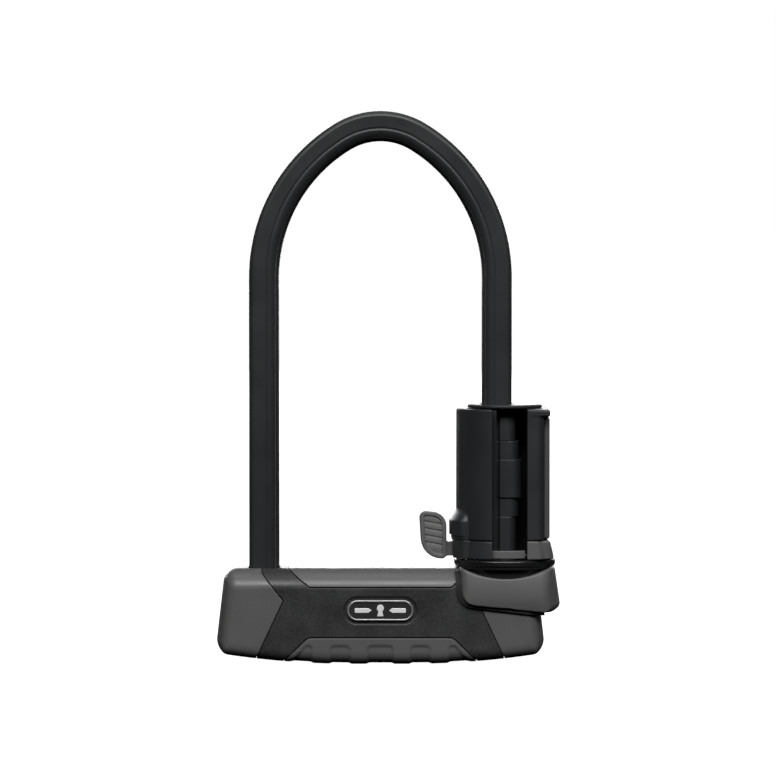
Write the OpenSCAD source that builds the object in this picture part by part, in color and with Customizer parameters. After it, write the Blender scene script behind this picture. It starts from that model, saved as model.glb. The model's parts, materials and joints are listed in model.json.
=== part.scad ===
// U lock with a parabolic shackle, a double-bolt disc cylinder and a swivelling carrier bracket.
// The origin is at the middle of the flat face that the lock body stands on.
// +Z runs up along the shackle's legs, +X along the lock body to the bracket, and -Y is the front.
// The lock is closed with its bolts drawn back, so the shackle is free to lift.

/* [Lock body] */
// Height of the lock body
body_h = 51; // [49:0.5:54]
// Front to back depth of the lock body
body_d = 42; // [41:0.5:46]
// Half length of the lock body along its top
top_half = 82.9; // [82:0.1:86]
// How far each end leans out from top to bottom
end_lean = 5.9; // [4:0.1:7]
// Wall of the plastic casing
wall = 3; // [2.6:0.1:3]
// Gap between neighbouring covers
seam = 0.4; // [0.3:0.05:0.6]

/* [Shackle] */
// Clear width between the two legs
inner_width = 108; // [106:1:112]
// Side of the square hardened bar
bar = 13; // [12.5:0.5:13]
// Thickness of the soft coat on the bar
coat = 1.5; // [1:0.1:1.5]
// Straight part of each leg above the lock body
leg_straight = 154.9; // [150:0.1:200]
// Radius of the long side arcs
side_r = 87.4; // [80:0.1:95]
// Angle through which each side arc runs
side_angle = 58.54; // [50:0.01:65]

/* [Locking works] */
// How far each bolt travels
throw = 4.5; // [3:0.1:4.5]
// Radius of the turning plug
plug_r = 8; // [7.5:0.1:8]
// Number of code discs in the plug
disc_count = 8; // [5:1:8]

/* [Bracket] */
// Distance of the swivel axis outside the middle of the leg
axis_offset = 4.4; // [4:0.1:4.8]
// Outer radius of the holder
holder_r = 26; // [25.5:0.1:26.5]
// Height of the holder
holder_h = 79.5; // [78:0.1:82]
// Width of the slot in the holder
slot_w = 18.56; // [17:0.1:19]
// How far the slot's middle stands outside the swivel axis
slot_offset = 2.12; // [1.5:0.01:2.5]

/* [Hidden] */

// Overlap that keeps a cut from ending flush with a face
eps = 0.1;
// Half length of the lock body along its bottom
bottom_half = top_half + end_lean;
// The bottom is flat for this far each side of the middle, then rises along an arc
flat_half = 15;
belly_r = 450;
// Corner radii of the body: along its top, along its bottom, and round its ends in plan
top_round = 11;
bottom_round = 8;
plan_round = 12;

// Middle of each leg, and the leg's full width with its coat
leg_x = (inner_width + bar) / 2 + coat;
leg_w = bar + 2 * coat;
// Clear space round the bar in its socket
bar_gap = 0.3;
socket_w = bar + 2 * bar_gap;
// Lowest point of the bar, and the coat's lower edge
bar_tip_z = 15;
coat_z = body_h - 2.8;
// The side arcs meet the crown arc on one tangent
crown_r = (side_r * cos(side_angle) - side_r + leg_x) / cos(side_angle);
arc_z = body_h + leg_straight;
crown_z = arc_z + (side_r - crown_r) * sin(side_angle);

// Hardened core
core_half = 74.5;
core_y = body_d / 2 - wall - 0.4;
core_z0 = 8.5;
core_z1 = body_h - wall - 0.4;
lid_half = 24;
// Hollows that lighten the core between the cylinder and the legs
relief_x0 = 27;
relief_x1 = 50;
relief_y = 14;
lid_z = 44.2;

// Bolts and the cam that drives them
bolt_z0 = 29;
bolt_z1 = 39;
bolt_y = 6;
bolt_in = 4.2;
bolt_out = leg_x - bar / 2 - 0.5;
pin_r = 1.2;
pin_x = 6.5;
slot_r = 1.75;
cam_r = 14;
cam_z0 = 39.5;
cam_z1 = 43.5;
shaft_r = 3.2;

// Key cylinder
housing_r = 12;
plug_z0 = 4.5;
plug_z1 = 28;
plug_gap = 0.07;
cavity_r = plug_r - 1.4;
cavity_z0 = 6.2;
cavity_z1 = 26;
disc_t = 1.8;
disc_pitch = (cavity_z1 - cavity_z0) / disc_count;
sidebar_r = 0.8;
sidebar_x = plug_r - 0.95;
key_w = 8.5;
key_t = 3;

// Sliding keyhole shutter
shutter_z0 = 1;
shutter_z1 = 3;
shutter_half_x = 5.6;
shutter_half_y = 6;
shutter_travel = 9;
guide_z0 = 3.4;
guide_z1 = 4.2;

// Badge on the front
badge_z = 29.3;
badge_half = 17.6;
badge_r = 5.5;

// Bracket: swivel axis, levels and walls
axis_x = leg_x + axis_offset;
ring_r = 27;
ring_z0 = body_h + 1.3;
ring_z1 = body_h + 5;
holder_z0 = ring_z1 + 0.4;
holder_z1 = holder_z0 + holder_h;
flat_x = 20.5;
flat_y = 22.2;
bore_r = 16.8;
tube_wall = 1.8;
foot_h = 9.8;
foot_z1 = holder_z0 + foot_h;
sleeve_y = leg_w / 2 + 1.4;
sleeve_left = -axis_offset - leg_w / 2 - 1.6;
sleeve_z0 = ring_z0 + 0.2;
disc_z0 = holder_z1 + 0.4;
disc_z1 = disc_z0 + 1.8;

// Levels at which the column on the leg sleeve steps, and in each stretch its right edge and its front
sleeve_levels = [sleeve_z0, 78.5, 88.6, 108.9, 118.8, disc_z0 - 0.2];
sleeve_rights = [5.9, 7.4, 9, 7.4, 5.6];
sleeve_fronts = [12.1, 11.6, 12.5, 11.6, 12.1];
column_left = -3.1;

// Release lever
lever_z0 = holder_z0 + 0.4;
lever_r0 = 19;
lever_r1 = 22.4;
gate_z1 = lever_z0 + 4.2;
stem_z1 = lever_z0 + 8.3;
lever_turn = 45;
gate_a0 = 249;
gate_a1 = 303;
stem_angle = 183;
spring_end = 108;

// Unit vectors, and the tangent length of a corner
function unit(v) = v / norm(v);
// Points of an outline with round corners, each given as [x, y, radius]
function round_corner(p, a, b, r, n) =
    let (u = unit(a - p), v = unit(b - p))
    let (half = acos(u * v) / 2)
    let (c = p + unit(u + v) * r / sin(half))
    let (s = c + (p + u * r / tan(half) - c), e = c + (p + v * r / tan(half) - c))
    let (a0 = atan2(s[1] - c[1], s[0] - c[0]), a1 = atan2(e[1] - c[1], e[0] - c[0]))
    let (turn = (a1 - a0 + 540) % 360 - 180)
    [for (i = [0:n]) c + r * [cos(a0 + turn * i / n), sin(a0 + turn * i / n)]];
function rounded(corners, n = 6) = [
    for (i = [0:len(corners) - 1])
        let (p = corners[i], a = corners[(i + len(corners) - 1) % len(corners)], b = corners[(i + 1) % len(corners)])
        each p[2] == 0
            ? [[p[0], p[1]]]
            : round_corner([p[0], p[1]], [a[0], a[1]], [b[0], b[1]], p[2], n)
];
function mirrored(points) = [for (p = points) [-p[0], p[1]]];
// Round-cornered rectangle about the origin
function round_rect(w, h, r, n = 6) =
    rounded([[w / 2, h / 2, r], [-w / 2, h / 2, r], [-w / 2, -h / 2, r], [w / 2, -h / 2, r]], n);

// An outline drawn in X and Z, made solid from y0 to y1
module slab_y(points, y0, y1) {
    translate([0, y1, 0]) rotate([90, 0, 0]) linear_extrude(y1 - y0) polygon(points);
}
// An outline drawn in Y and Z, made solid from x0 to x1
module slab_x(points, x0, x1) {
    translate([x0, 0, 0]) rotate([90, 0, 90]) linear_extrude(x1 - x0) polygon(points);
}
module box(x0, x1, y0, y1, z0, z1) {
    translate([x0, y0, z0]) cube([x1 - x0, y1 - y0, z1 - z0]);
}
module disc(r, z0, z1) {
    translate([0, 0, z0]) cylinder(r = r, h = z1 - z0, $fn = 96);
}
// A ring segment about the Z axis
module arc_ring(r0, r1, z0, z1, a0, a1) {
    rotate_extrude(angle = a1 - a0, start = a0, $fn = 96) translate([r0, z0]) square([r1 - r0, z1 - z0]);
}
module at_axis() {
    translate([axis_x, 0, 0]) children();
}

// ---- Outer form of the lock body ----
function belly(x) = pow(max(0, abs(x) - flat_half), 2) / (2 * belly_r);
function side_outline(inset) =
    let (top = top_half - inset, bottom = bottom_half - inset, z1 = body_h - inset)
    rounded(concat(
        [[-top, z1, 7.5], [-bottom, belly(bottom) + inset, 8]],
        [for (x = [-75:15:75]) [x, belly(x) + inset, 0]],
        [[bottom, belly(bottom) + inset, 8], [top, z1, 7.5]]
    ));
function end_outline(inset) =
    let (y = body_d / 2 - inset, r1 = top_round - inset, r0 = bottom_round - inset)
    rounded([[y, body_h - inset, r1], [-y, body_h - inset, r1], [-y, inset, r0], [y, inset, r0]]);
// The whole body form, drawn in by inset on every side
module body_form(inset) {
    half = bottom_half - inset;
    intersection() {
        slab_y(side_outline(inset), -body_d, body_d);
        slab_x(end_outline(inset), -half - 1, half + 1);
        linear_extrude(3 * body_h, center = true)
            polygon(round_rect(2 * half, body_d - 2 * inset, plan_round - inset));
    }
}
module body_wall() {
    difference() {
        body_form(0);
        body_form(wall);
    }
}
// Fields that the covers fill, each grown by gap on its inner edges
function cap_field(gap) = [
    [63.3 - gap, body_h + 5], [63.3 - gap, 48.9], [51.7 - 1.1 * gap, 34.2], [66.4 - gap, 3], [67.5 - gap, -2],
    [100, -2], [100, body_h + 5]
];
function top_field(gap) = [
    [-37.4, 41.5 - gap], [37.4, 41.5 - gap], [49.3 + gap, body_h - gap], [49.3 + gap, body_h + 5],
    [-49.3 - gap, body_h + 5], [-49.3 - gap, body_h - gap]
];
function grip_field(gap) =
    rounded([
        [38.4, 14.6 + gap, 5], [-38.4, 14.6 + gap, 5], [-51.7 - gap, 1.5, 0], [-52.4 - gap, -2, 0],
        [52.4 + gap, -2, 0], [51.7 + gap, 1.5, 0]
    ], 4);
module field(points) {
    slab_y(points, -body_d, body_d);
}
// Room for both coated legs through the covers
module leg_openings() {
    for (side = [-1, 1]) {
        translate([side * leg_x, 0, body_h - 10])
            linear_extrude(20) polygon(round_rect(leg_w + 0.8, leg_w + 0.8, 3.4));
    }
}
module badge_outline(grow) {
    for (side = [-1, 1]) {
        translate([side * (badge_half - badge_r), 0]) circle(r = badge_r + grow, $fn = 48);
    }
    square([2 * (badge_half - badge_r), 2 * (badge_r + grow)], center = true);
}
module badge_slab(grow, y0, y1) {
    translate([0, y1, badge_z]) rotate([90, 0, 0]) linear_extrude(y1 - y0) badge_outline(grow);
}

module casing() {
    difference() {
        body_wall();
        field(cap_field(seam));
        field(mirrored(cap_field(seam)));
        field(top_field(seam));
        field(grip_field(seam));
        leg_openings();
    }
}
module casing_front() {
    color("#2b2b2d") difference() {
        intersection() {
            casing();
            box(-90, 90, -30, -seam / 4, -1, 60);
        }
        badge_slab(1.7, -body_d / 2 - 1, -body_d / 2 + 1.6);
    }
}
module casing_back() {
    color("#2b2b2d") intersection() {
        casing();
        box(-90, 90, seam / 4, 30, -1, 60);
    }
}
module end_cap_right() {
    color("#4f4d4e") difference() {
        intersection() {
            body_wall();
            field(cap_field(0));
        }
        leg_openings();
    }
}
module end_cap_left() {
    mirror([1, 0, 0]) end_cap_right();
}
module top_panel() {
    color("#5d5b5c") intersection() {
        body_wall();
        field(top_field(0));
    }
}
// Shallow hollows between the pads, from the bottom up onto the front and back
module grip_hollows() {
    difference() {
        for (span = [[-6.3, 6.3], [16.5, 26], [36.8, 46], [-26, -16.5], [-46, -36.8]]) {
            box(span[0], span[1], -30, 30, -1, 9.9);
        }
        body_form(0.8);
    }
}
// The grip carries the track in which the shutter slides
module bottom_grip() {
    color("#494748") difference() {
        intersection() {
            body_wall();
            field(grip_field(0));
        }
        grip_hollows();
        box(-5.2, 5.2, -5.2, 5.2, -1, wall + 1);
        box(-shutter_half_x - 0.3, shutter_half_x + 0.3, -6.4, 15.4, shutter_z0 - 0.2, wall + 1);
        box(-7.4, 7.4, -6.4, 15.4, 1.6, wall + 1);
    }
}
module badge_plate() {
    color("#3c3c3e") badge_slab(-1.1, -body_d / 2 + 0.3, -body_d / 2 + 1.6);
}
module badge_bezel() {
    color("#b8b8ba") difference() {
        badge_slab(0, -body_d / 2 - 0.4, -body_d / 2 + 1.6);
        badge_slab(-1.1, -body_d, 0);
    }
}

// ---- Hardened core and its works ----
module core_form() {
    y = core_y;
    slab_x(rounded([[y, core_z1, 7.6], [-y, core_z1, 7.6], [-y, core_z0, 5], [y, core_z0, 5]]), -core_half, core_half);
}
module lid_box(gap) {
    box(-lid_half - gap, lid_half + gap, -30, 30, lid_z - gap, 60);
}
module lid_screw_places() {
    for (x = [-19, 19]) {
        translate([x, 0, 0]) children();
    }
}
module lock_core() {
    color("silver") difference() {
        core_form();
        lid_box(0.05);
        for (side = [-1, 1]) {
            translate([side * leg_x, 0, bar_tip_z - 1]) {
                linear_extrude(60) square(socket_w, center = true);
            }
            translate([side * leg_x, 0, seal_z]) linear_extrude(10) square(seal_w, center = true);
        }
        box(-bolt_out - 1, bolt_out + 1, -bolt_y - 0.3, bolt_y + 0.3, bolt_z0 - 0.3, bolt_z1 + 0.3);
        for (x = [-relief_x1, relief_x0]) {
            box(x, x + relief_x1 - relief_x0, -relief_y, relief_y, core_z0 - 1, bolt_z0 - 4);
            box(x, x + relief_x1 - relief_x0, -relief_y, relief_y, bolt_z1 + 3, core_z1 + 1);
        }
        disc(cam_r + 0.4, cam_z0 - 0.4, 60);
        disc(shaft_r + 0.4, 20, 60);
        disc(housing_r, -1, plug_z1 + 0.3);
        translate([0, 0, pin_hole_z]) rotate([-90, 0, 0]) cylinder(r = 1.5, h = 30, $fn = 32);
        lid_screw_places() {
            disc(1.6, lid_z - 4.6, lid_z + 1);
        }
    }
}
seal_w = 17.6;
seal_z = core_z1 - 3;
pin_hole_z = 16;
module core_lid() {
    color("silver") difference() {
        intersection() {
            core_form();
            lid_box(0);
        }
        lid_screw_places() {
            disc(1.7, 40, 60);
            translate([0, 0, core_z1 - 1.7]) cylinder(r1 = 1.7, r2 = 3.4, h = 1.75, $fn = 48);
        }
    }
}
module lid_screws() {
    color("gray") lid_screw_places() {
        difference() {
            union() {
                disc(1.55, lid_z - 4, core_z1 - 1);
                translate([0, 0, core_z1 - 1.8]) cylinder(r1 = 1.6, r2 = 3.2, h = 1.7, $fn = 48);
            }
            translate([0, 0, core_z1 - 1.2]) linear_extrude(2) circle(r = 1.3, $fn = 6);
        }
    }
}
module shackle_seal(side) {
    color("#202020") translate([side * leg_x, 0, seal_z]) linear_extrude(2.9) difference() {
        square(seal_w, center = true);
        square(bar + 0.8, center = true);
    }
}
module shackle_seal_left() {
    shackle_seal(-1);
}
module shackle_seal_right() {
    shackle_seal(1);
}
module cylinder_housing() {
    color("goldenrod") difference() {
        disc(housing_r, guide_z1, plug_z1);
        disc(plug_r + plug_gap, -1, 40);
        translate([0, 0, pin_hole_z]) rotate([-90, 0, 0]) cylinder(r = 1.5, h = 30, $fn = 32);
    }
}
module cylinder_pin() {
    color("gray") translate([0, plug_r + 1.4, pin_hole_z]) rotate([-90, 0, 0])
        cylinder(r = 1.48, h = core_y - plug_r - 1.5, $fn = 32);
}
module shutter_guide() {
    color("#303030") difference() {
        intersection() {
            box(-14, 14, -13, 15.6, guide_z0, guide_z1);
            body_form(wall);
        }
        disc(plug_r + 0.2, -1, 40);
    }
}
module keyway(grow, z0, z1) {
    translate([0, 0, z0]) linear_extrude(z1 - z0)
        square([key_w + 2 * grow, key_t + 2 * grow], center = true);
}
module sidebar_room(gap) {
    translate([sidebar_x, 0, cavity_z0 + 0.4]) cylinder(r = sidebar_r + gap, h = cavity_z1 - cavity_z0 - 0.8, $fn = 32);
}
module cylinder_plug() {
    color("goldenrod") {
        difference() {
            disc(plug_r, plug_z0, plug_z1);
            disc(cavity_r, plug_z0 - 1, cavity_z1);
            sidebar_room(0.02);
        }
        disc(shaft_r, plug_z1 - eps, cam_z0);
        translate([0, 0, (cam_z0 + cam_z1) / 2]) cube([4, 4, cam_z1 - cam_z0 + 0.4], center = true);
    }
}
module key_guard() {
    color("gray") difference() {
        disc(cavity_r - 0.03, plug_z0 + 0.1, cavity_z0 - 0.2);
        keyway(0.1, 0, 10);
    }
}
module code_discs() {
    color("khaki") for (i = [0:disc_count - 1]) {
        z = cavity_z0 + i * disc_pitch + 0.2;
        difference() {
            disc(cavity_r - 0.15, z, z + disc_t);
            keyway(0.2, 0, 40);
            sidebar_room(0.12);
            rotate([0, 0, 60 + 37 * i]) translate([cavity_r, 0, 0]) disc(0.8, z - 1, z + disc_t + 1);
        }
    }
}
module sidebar() {
    color("silver") sidebar_room(0);
}
// Each slot winds outwards by the bolt's throw in a quarter turn
module cam_slot(start) {
    steps = 18;
    function mid(t) = pin_x + throw * t;
    function spot(t, dr) = (mid(t) + dr) * [cos(start - 90 * t), sin(start - 90 * t)];
    side = [for (i = [0:steps]) i / steps];
    polygon(concat(
        [for (t = side) spot(t, slot_r + 0.15)],
        [for (i = [steps:-1:0]) spot(i / steps, -slot_r - 0.15)]
    ));
    for (t = [0, 1]) {
        translate(spot(t, 0)) circle(r = slot_r, $fn = 32);
    }
}
module cam_disc() {
    color("silver") translate([0, 0, cam_z0]) linear_extrude(cam_z1 - cam_z0) difference() {
        circle(r = cam_r, $fn = 96);
        square(4.02, center = true);
        cam_slot(0);
        cam_slot(180);
    }
}
module bolt(side) {
    x0 = side > 0 ? bolt_in : -bolt_out;
    color("silver") difference() {
        intersection() {
            box(x0, x0 + bolt_out - bolt_in, -bolt_y, bolt_y, bolt_z0, bolt_z1);
            slab_x(rounded([[bolt_y, bolt_z1, 1], [-bolt_y, bolt_z1, 1], [-bolt_y, bolt_z0, 1], [bolt_y, bolt_z0, 1]], 3),
                -90, 90);
        }
        translate([side * pin_x, 0, bolt_z0 + 4]) cylinder(r = pin_r, h = 20, $fn = 32);
    }
}
module bolt_left() {
    bolt(-1);
}
module bolt_right() {
    bolt(1);
}
module drive_pin(side) {
    color("gray") translate([side * pin_x, 0, bolt_z0 + 4]) cylinder(r = pin_r, h = cam_z1 - bolt_z0 - 4.6, $fn = 32);
}
module drive_pin_left() {
    drive_pin(-1);
}
module drive_pin_right() {
    drive_pin(1);
}
module keyhole_shutter() {
    color("#303030") {
        box(-shutter_half_x, shutter_half_x, -shutter_half_y, shutter_half_y, shutter_z0, shutter_z1);
        box(-7.1, 7.1, -shutter_half_y, shutter_half_y, 1.9, shutter_z1);
        for (y = [-2.4, 0, 2.4]) {
            box(-3.6, 3.6, y - 0.5, y + 0.5, shutter_z0 - 0.5, shutter_z0 + eps);
        }
    }
}

// ---- Shackle ----
// Cross-section: x runs outwards from the loop, and the inner corners are the rounder ones
function bar_points(w, r_out, r_in) =
    rounded([[w / 2, w / 2, r_out], [-w / 2, w / 2, r_in], [-w / 2, -w / 2, r_in], [w / 2, -w / 2, r_out]], 5);
module half_shackle(points, foot_z) {
    translate([leg_x, 0, foot_z]) linear_extrude(arc_z - foot_z) polygon(points);
    translate([leg_x - side_r, 0, arc_z]) rotate([90, 0, 0])
        rotate_extrude(angle = side_angle, $fn = 144) translate([side_r, 0]) polygon(points);
    translate([0, 0, crown_z]) rotate([90, 0, 0])
        rotate_extrude(angle = 90 - side_angle, start = side_angle, $fn = 120)
            translate([crown_r, 0]) polygon(points);
}
module full_shackle(points, foot_z) {
    half_shackle(points, foot_z);
    mirror([1, 0, 0]) half_shackle(points, foot_z);
}
module shackle_bar() {
    color("silver") difference() {
        full_shackle(bar_points(bar, 1.2, 1.2), bar_tip_z);
        for (side = [-1, 1]) {
            x = side * (leg_x - bar / 2);
            box(x - throw - 0.6, x + throw + 0.6, -bolt_y - 0.6, bolt_y + 0.6, bolt_z0 - 0.7, bolt_z1 + 0.7);
        }
    }
}
module shackle_coat() {
    color("#1f1f20") difference() {
        full_shackle(bar_points(leg_w, 3, 6.4), coat_z);
        full_shackle(bar_points(bar + 0.02, 1.2, 1.2), coat_z - 1);
    }
}

// ---- Bracket half that stays on the lock ----
cup_outline = rounded([
    [-25.4, body_h + 2.2, 1], [-23.4, 33.2, 9], [25.6, 27.6, 4], [29.9, 29.6, 3], [26.4, body_h + 2.2, 3]
]);
module cup_block(points, y, left) {
    intersection() {
        slab_y(points, -y, y);
        linear_extrude(90)
            polygon(rounded([[left, y, 6], [29.9, y, 12], [29.9, -y, 12], [left, -y, 6]]));
    }
}
// Hollow that the cup's rim is scooped to
module rim_scoop() {
    sag = 6.5;
    half = 25.3;
    r = (half * half + sag * sag) / (2 * sag);
    translate([0, 40, body_h - 4.7 + r]) rotate([90, 0, 0]) cylinder(r = r, h = 80, $fn = 180);
}
module bracket_leg_room(gap) {
    w = leg_w + 2 * gap;
    translate([-axis_offset, 0, 0]) linear_extrude(400) square(w, center = true);
}
module adapter_cup() {
    color("#5a5859") difference() {
        at_axis() cup_block(cup_outline, 26, -25.4);
        body_form(-1.3);
        at_axis() {
            disc(23.7, 30, 90);
            disc(ring_r + 0.3, ring_z0 - 1.2, 90);
            rim_scoop();
        }
    }
}
module cup_liner() {
    color("#1c1d1e") difference() {
        at_axis() intersection() {
            translate([-1.6, 0, -1.6]) slab_y(cup_outline, -22.3, 22.3);
            linear_extrude(90) square([60, 44.6], center = true);
        }
        body_form(-0.1);
        at_axis() {
            disc(23.7, 40, 90);
            box(-40, 40, -40, 40, body_h - 1, 90);
        }
        difference() {
            box(0, 200, -60, 60, -1, 100);
            body_form(-1.2);
        }
    }
}
module adapter_base() {
    color("#151617") difference() {
        at_axis() {
            disc(23.5, 41, ring_z0 - 0.9);
            disc(26.4, ring_z0 - 1, ring_z0);
        }
        body_form(-0.1);
        at_axis() bracket_leg_room(0.4);
    }
}
module index_ring() {
    color("#222324") at_axis() difference() {
        disc(ring_r, ring_z0, ring_z1);
        disc(bore_r, 0, 200);
        for (a = [47.3, 227.3]) {
            rotate([0, 0, a]) translate([ring_r + 0.6, 0, 0]) disc(1.4, ring_z0 - 1, ring_z1 + 1);
        }
    }
}
// The sleeve wraps the leg, and a column that steps in and out stands on its front
module leg_sleeve() {
    difference() {
        union() {
            for (i = [0:len(sleeve_rights) - 1]) {
                right = sleeve_rights[i];
                front = sleeve_fronts[i];
                w = right - sleeve_left;
                translate([0, 0, sleeve_levels[i]]) linear_extrude(sleeve_levels[i + 1] - sleeve_levels[i]) {
                    translate([sleeve_left + w / 2, 0]) polygon(round_rect(w, 2 * sleeve_y, 3));
                    polygon(rounded([
                        [column_left, -1, 0], [column_left, -front, 0.5], [right, -front, 5], [right, -1, 0]
                    ]));
                }
            }
        }
        bracket_leg_room(0.4);
        for (z = sleeve_screw_levels) {
            translate([sleeve_screw_x, 2 - sleeve_y, z]) rotate([-90, 0, 0]) cylinder(r = 1.15, h = 20, $fn = 32);
            translate([sleeve_screw_x, sleeve_y - 1.6, z]) rotate([-90, 0, 0]) cylinder(r = 2, h = 20, $fn = 32);
        }
    }
}
sleeve_screw_x = 6.3;
sleeve_screw_levels = [93.5, 104];
module leg_sleeve_front() {
    color("#242526") at_axis() intersection() {
        leg_sleeve();
        box(-30, 30, -30, -0.05, 0, 200);
    }
}
module leg_sleeve_back() {
    color("#242526") at_axis() intersection() {
        leg_sleeve();
        box(-30, 30, 0.05, 30, 0, 200);
    }
}
module sleeve_screws() {
    color("silver") at_axis() for (z = sleeve_screw_levels) {
        translate([sleeve_screw_x, sleeve_y - 0.3, z]) rotate([90, 0, 0]) {
            cylinder(r = 1.9, h = 1.2, $fn = 32);
            cylinder(r = 1.1, h = 2 * sleeve_y - 3, $fn = 32);
        }
    }
}
module top_disc() {
    color("#1e1f20") at_axis() difference() {
        disc(20, disc_z0, disc_z1);
        bracket_leg_room(0.4);
    }
}

// ---- Bracket half that stays on the bicycle frame ----
slot_x0 = slot_offset - slot_w / 2;
slot_x1 = slot_offset + slot_w / 2;
module slot_room(x0) {
    box(x0, slot_x1, -40, 0, 0, 200);
}
module holder_outline(grow) {
    intersection() {
        circle(r = holder_r + grow, $fn = 120);
        translate([-60, -60]) square([60 + flat_x + grow, 120]);
    }
    polygon(rounded([
        [0, flat_y + grow, 0], [flat_x + grow, flat_y + grow, 2], [flat_x + grow, -flat_y - grow, 2],
        [0, -flat_y - grow, 0]
    ]));
}
module lever_bump() {
    rotate_extrude(angle = 84, start = 137, $fn = 96) polygon([
        [24, holder_z0], [28.4, holder_z0], [28.7, 68.8], [29.7, 68.8], [29.7, 76.3], [25.5, 82.3], [24, 82.3]
    ]);
}
// Path that the lever's stem sweeps through the wall
module stem_sweep() {
    arc_ring(18, 40, 0, stem_z1 + 0.6, stem_angle - lever_turn - 8, stem_angle + 8);
}
module holder_cavity(z1) {
    intersection() {
        disc(23, 0, z1);
        box(-30, bore_r + tube_wall + 0.1, -30, 30, 0, z1);
    }
}
module holder_shell() {
    color("#1f2021") at_axis() difference() {
        union() {
            translate([0, 0, foot_z1 + 0.3]) linear_extrude(holder_z1 - foot_z1 - 0.3) holder_outline(0);
            intersection() {
                lever_bump();
                disc(40, foot_z1 + 0.3, 200);
            }
            box(10, 23.6, -flat_y, flat_y, holder_z1 - 3.7, holder_z1);
        }
        holder_cavity(holder_z1 - 1.5);
        disc(bore_r + tube_wall + 0.1, 0, 200);
        slot_room(slot_x0);
        for (z = [69.5, 122.3]) {
            box(19.6, 21, -17, 17, z, z + 6);
        }
        holder_screw_places() {
            cylinder(r = 1.3, h = 30, $fn = 32);
        }
    }
}
module holder_tube() {
    color("#2a2b2c") at_axis() difference() {
        union() {
            difference() {
                disc(bore_r + tube_wall, holder_z0 + 0.2, holder_z1 - 0.2);
                disc(bore_r, 0, 200);
            }
            for (a = [60, 120, 240]) {
                arc_ring(bore_r + 0.5, 22.9, gate_z1 + 1, holder_z1 - 1.8, a - 3, a + 3);
            }
        }
        slot_room(slot_x0 + 2.3);
        for (z = [74, 110]) {
            box(8, 30, -10, 10, z, z + 20);
        }
        holder_screw_places() {
            cylinder(r = 1.15, h = 30, $fn = 32);
        }
    }
}
module holder_screw_places() {
    for (a = [60, 120], z = [76, 122]) {
        rotate([0, 0, a]) translate([bore_r + 1, 0, z]) rotate([0, 90, 0]) children();
    }
}
module holder_screws() {
    color("silver") at_axis() holder_screw_places() {
        cylinder(r = 1.1, h = holder_r - bore_r - 1.8, $fn = 32);
    }
}
module foot_block() {
    difference() {
        intersection() {
            translate([0, 0, holder_z0]) linear_extrude(foot_h) {
                holder_outline(0.4);
                polygon(rounded([[0, 20, 0], [26.2, 20, 5], [26.2, -20, 5], [0, -20, 0]]));
            }
            slab_y([[-30, holder_z0], [26.2, holder_z0], [23.6, foot_z1], [-30, foot_z1]], -40, 40);
        }
        holder_cavity(200);
        slot_room(slot_x0);
        stem_sweep();
    }
}
module foot_collar() {
    color("#232425") at_axis() {
        intersection() {
            foot_block();
            box(-40, foot_split_x - 0.15, -40, 40, 0, 200);
        }
        difference() {
            intersection() {
                lever_bump();
                disc(40, holder_z0, foot_z1);
            }
            disc(26.3, 0, 200);
            stem_sweep();
        }
    }
}
module foot_bracket() {
    color("#555354") at_axis() intersection() {
        foot_block();
        box(foot_split_x + 0.15, 40, -40, 40, 0, 200);
    }
}
foot_split_x = 8;
module bumper_strip() {
    color("#3c3c3d") at_axis() slab_y(
        rounded([[20.6, 66.9, 0], [23.7, 68, 1.2], [23.7, 130.4, 1.2], [20.6, 131.6, 0]], 4), -15, 15);
}
module release_lever() {
    color("#5d5b5c") at_axis() {
        arc_ring(lever_r0, lever_r1, lever_z0, gate_z1, stem_angle - 7, gate_a1);
        arc_ring(lever_r0 + 0.3, lever_r1 - 0.3, lever_z0 + 1, stem_z1, stem_angle - 6, stem_angle + 6);
        rotate([0, 0, stem_angle - 180]) {
            box(-32.5, -lever_r1 + 1, -1.5, 1.5, lever_z0 + 0.3, stem_z1 - 0.3);
            slab_y(rounded([
                [-31.2, 55.6, 2.6], [-43.5, 57, 8.5], [-45.9, 81.4, 1.8], [-31.2, 79.9, 7.5]
            ]), -2, 2);
            for (z = [60:3.6:74.5]) {
                box(-42.8 + max(0, (66 - z) * 0.6), -33.4, -2.6, -1.8, z - 0.6, z + 0.6);
            }
        }
    }
}
// Spring coils that lie along an arc behind the lever's ring
module lever_spring() {
    turns = 9;
    mid_r = (lever_r0 + lever_r1) / 2;
    mid_z = (lever_z0 + gate_z1) / 2;
    coil_r = 1.3;
    wire_r = 0.28;
    span = stem_angle - 12 - spring_end;
    rings = turns * 10;
    sides = 6;
    function centre(i) =
        let (a = spring_end + span * i / rings, c = 36 * i)
        [(mid_r + coil_r * cos(c)) * cos(a), (mid_r + coil_r * cos(c)) * sin(a), mid_z + coil_r * sin(c)];
    function along(i) = unit(centre(i + 0.1) - centre(i - 0.1));
    function across(i) = unit(cross(along(i), [0, 0, 1] + 0.3 * [cos(36 * i), sin(36 * i), 0]));
    points = [
        for (i = [0:rings], j = [0:sides - 1])
            let (t = along(i), u = across(i), v = cross(t, u), b = 360 * j / sides)
            centre(i) + wire_r * (cos(b) * u + sin(b) * v)
    ];
    walls = [
        for (i = [0:rings - 1], j = [0:sides - 1])
            let (k = (j + 1) % sides)
            [i * sides + j, i * sides + k, (i + 1) * sides + k, (i + 1) * sides + j]
    ];
    ends = [[for (j = [sides - 1:-1:0]) j], [for (j = [0:sides - 1]) rings * sides + j]];
    color("silver") at_axis() polyhedron(points, concat(walls, ends));
}

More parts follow.
